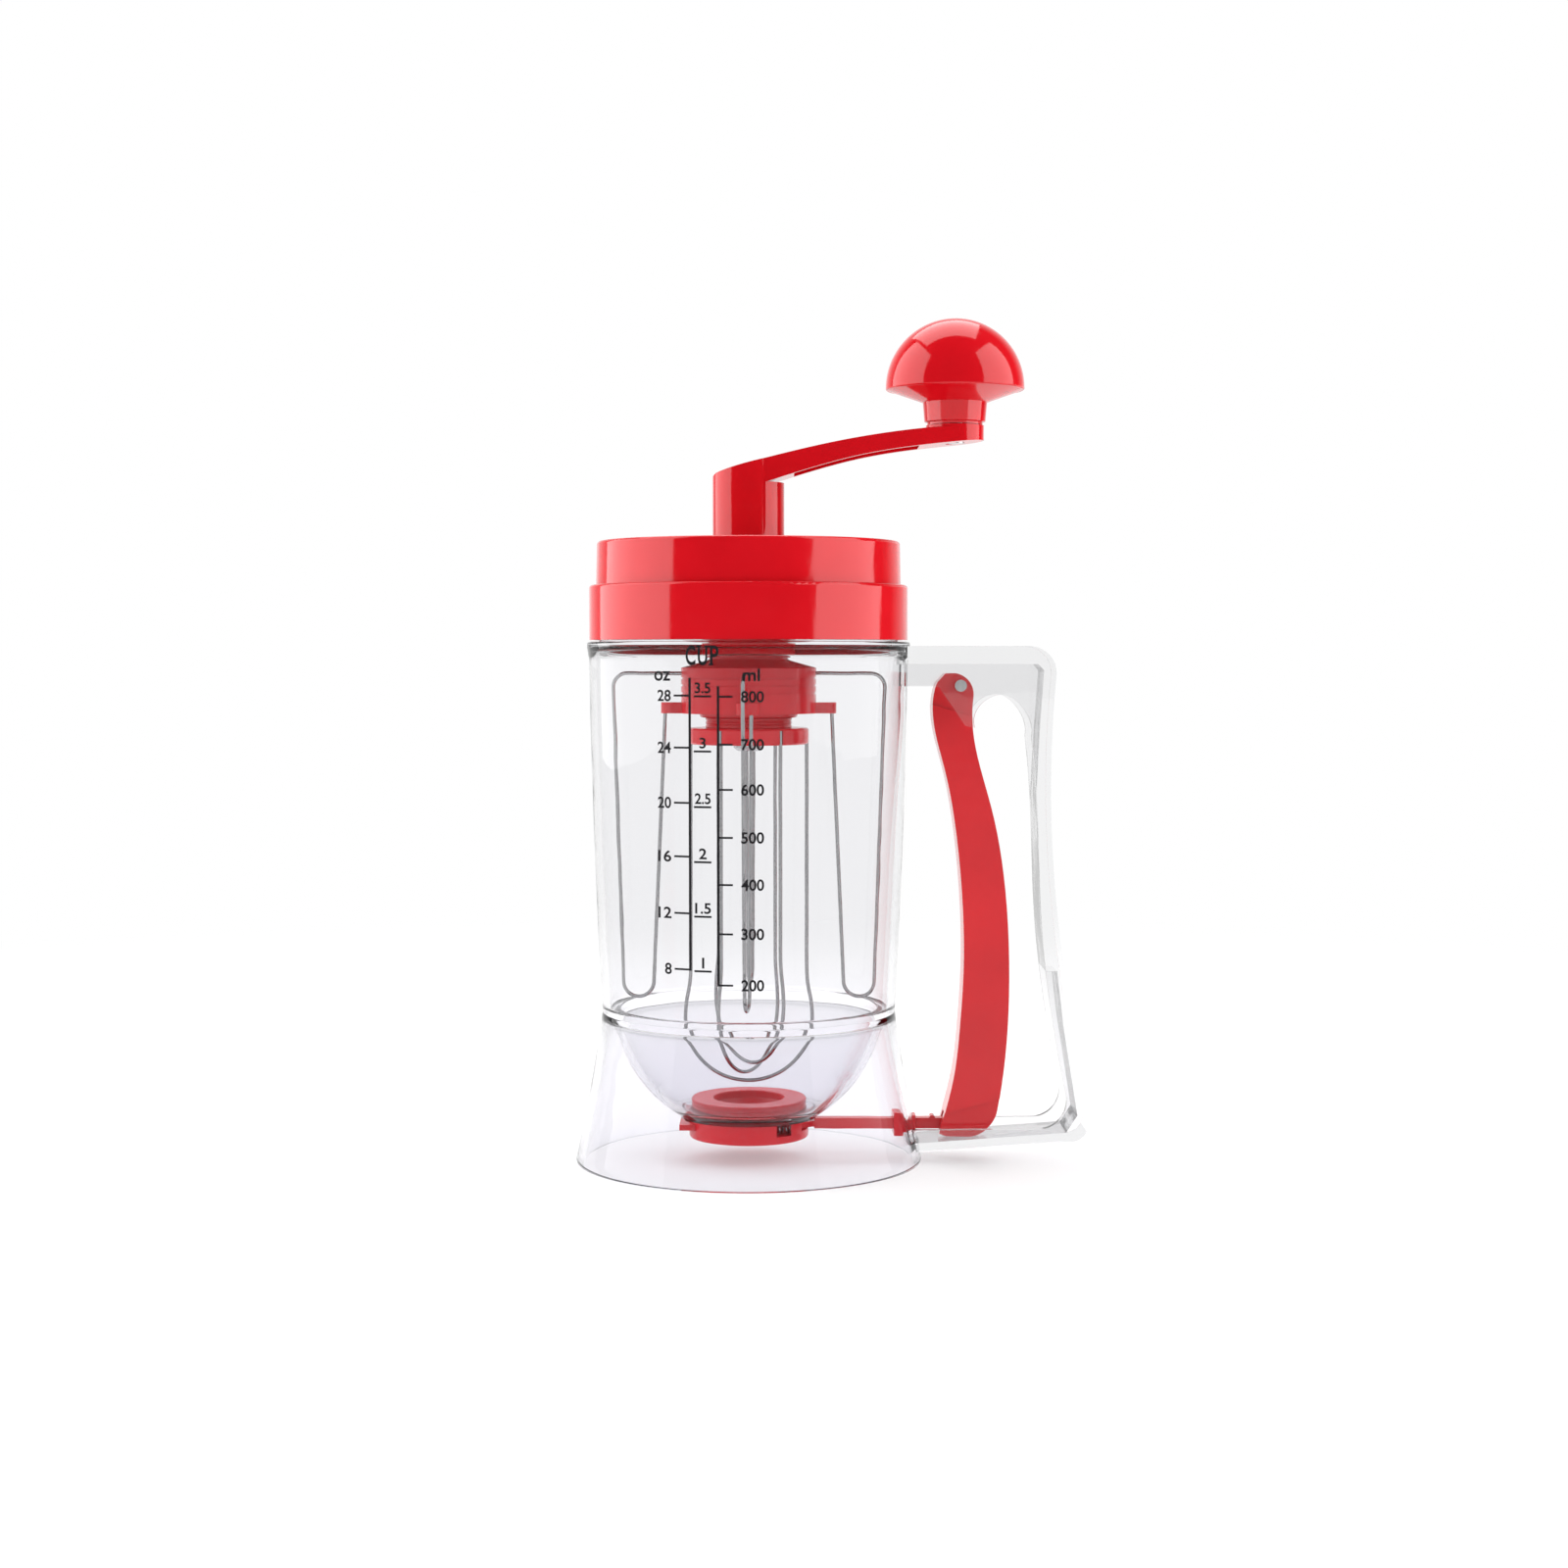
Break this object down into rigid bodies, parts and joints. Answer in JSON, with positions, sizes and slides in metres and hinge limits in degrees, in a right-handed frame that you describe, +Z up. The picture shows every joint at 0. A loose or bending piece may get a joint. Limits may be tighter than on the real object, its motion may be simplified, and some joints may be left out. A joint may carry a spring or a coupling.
{
  "type": "pancake batter dispenser",
  "caption": "Clear jug with a hand-cranked twin whisk under its lid, a side handle with a squeeze lever, and a sliding gate valve under the bowl that lets batter out.",
  "frame": {"origin": "on the jar's axis, at the plane its base rim rests on", "axes": "+Z up along the jar, +X towards the handle, -Y towards the printed scale"},
  "size_m": [0.1636, 0.111, 0.2684],
  "materials": {
    "red_plastic": "glossy moulded",
    "clear_plastic": "clear, polished",
    "steel_wire": "bright drawn stainless wire",
    "silicone": "soft matt",
    "white_plastic": "moulded satin",
    "steel_pin": "plain steel"
  },
  "bodies": {
    "root": {"jar_wall": "clear_plastic", "jar_bowl": "clear_plastic", "base_skirt": "clear_plastic", "handle_frame": "clear_plastic", "pivot_pin": "steel_pin", "valve_collar": "red_plastic", "gate_seal": "silicone", "valve_housing": "red_plastic", "rod_guide": "red_plastic", "return_spring": "steel_pin"},
    "lid": {"lid_ring": "red_plastic", "lid_cover": "red_plastic", "cover_screws": "steel_pin", "lid_gasket": "silicone", "shaft_bush": "white_plastic", "gear_carrier": "white_plastic", "planet_pins": "steel_pin"},
    "crank": {"crank_arm": "red_plastic", "crank_shaft": "white_plastic", "whisk_hub": "red_plastic", "whisk_collar": "red_plastic", "hub_screw": "steel_pin", "knob_axle": "steel_pin", "whisk_wire_1": "steel_wire", "whisk_wire_2": "steel_wire", "whisk_wire_3": "steel_wire"},
    "knob": {"knob": "red_plastic"},
    "drum": {"drum_cap": "red_plastic", "drum_ring": "red_plastic", "drum_floor": "red_plastic", "paddle_wire_1": "steel_wire", "paddle_wire_2": "steel_wire", "paddle_wire_3": "steel_wire", "paddle_wire_4": "steel_wire"},
    "planet_1": {"planet_gear_1": "white_plastic"},
    "planet_2": {"planet_gear_2": "white_plastic"},
    "planet_3": {"planet_gear_3": "white_plastic"},
    "trigger": {"trigger_lever": "red_plastic"},
    "gate": {"gate_plate": "red_plastic", "pull_rod": "red_plastic", "rod_pin": "steel_pin"}
  },
  "joints": [
    {"name": "lid_lift", "type": "slide", "parent": "root", "child": "lid", "axis": [0, 0, 1], "range_m": [0, 0.165]},
    {"name": "crank_turn", "type": "hinge", "parent": "lid", "child": "crank", "pos_m": [0, 0, 0.198], "axis": [0, 0, 1], "continuous": true},
    {"name": "knob_spin", "type": "hinge", "parent": "crank", "child": "knob", "pos_m": [0.0656, 0, 0.24], "axis": [0, 0, 1], "continuous": true},
    {"name": "drum_spin", "type": "hinge", "parent": "lid", "child": "drum", "pos_m": [0, 0, 0.16], "axis": [0, 0, 1], "continuous": true},
    {"name": "planet_spin_1", "type": "hinge", "parent": "lid", "child": "planet_1", "pos_m": [0, 0.012, 0.152], "axis": [0, 0, 1], "continuous": true},
    {"name": "planet_spin_2", "type": "hinge", "parent": "lid", "child": "planet_2", "pos_m": [-0.01039, -0.006, 0.152], "axis": [0, 0, 1], "continuous": true},
    {"name": "planet_spin_3", "type": "hinge", "parent": "lid", "child": "planet_3", "pos_m": [0.01039, -0.006, 0.152], "axis": [0, 0, 1], "continuous": true},
    {"name": "trigger_pull", "type": "hinge", "parent": "root", "child": "trigger", "pos_m": [0.0669, 0, 0.1522], "axis": [0, -1, 0], "range_deg": [0, 5.9], "stiffness_Nm_per_rad": 1.2, "springref_deg": -4.58},
    {"name": "gate_slide", "type": "slide", "parent": "root", "child": "gate", "axis": [1, 0, 0], "range_m": [0, 0.0146], "deforming": ["return_spring"]}
  ],
  "couplings": [
    {"joint": "drum_spin", "follows": "crank_turn", "ratio": -0.33333},
    {"joint": "planet_spin_1", "follows": "crank_turn", "ratio": -1},
    {"joint": "planet_spin_2", "follows": "crank_turn", "ratio": -1},
    {"joint": "planet_spin_3", "follows": "crank_turn", "ratio": -1},
    {"joint": "gate_slide", "follows": "trigger_pull", "m_per_rad": 0.1406}
  ]
}
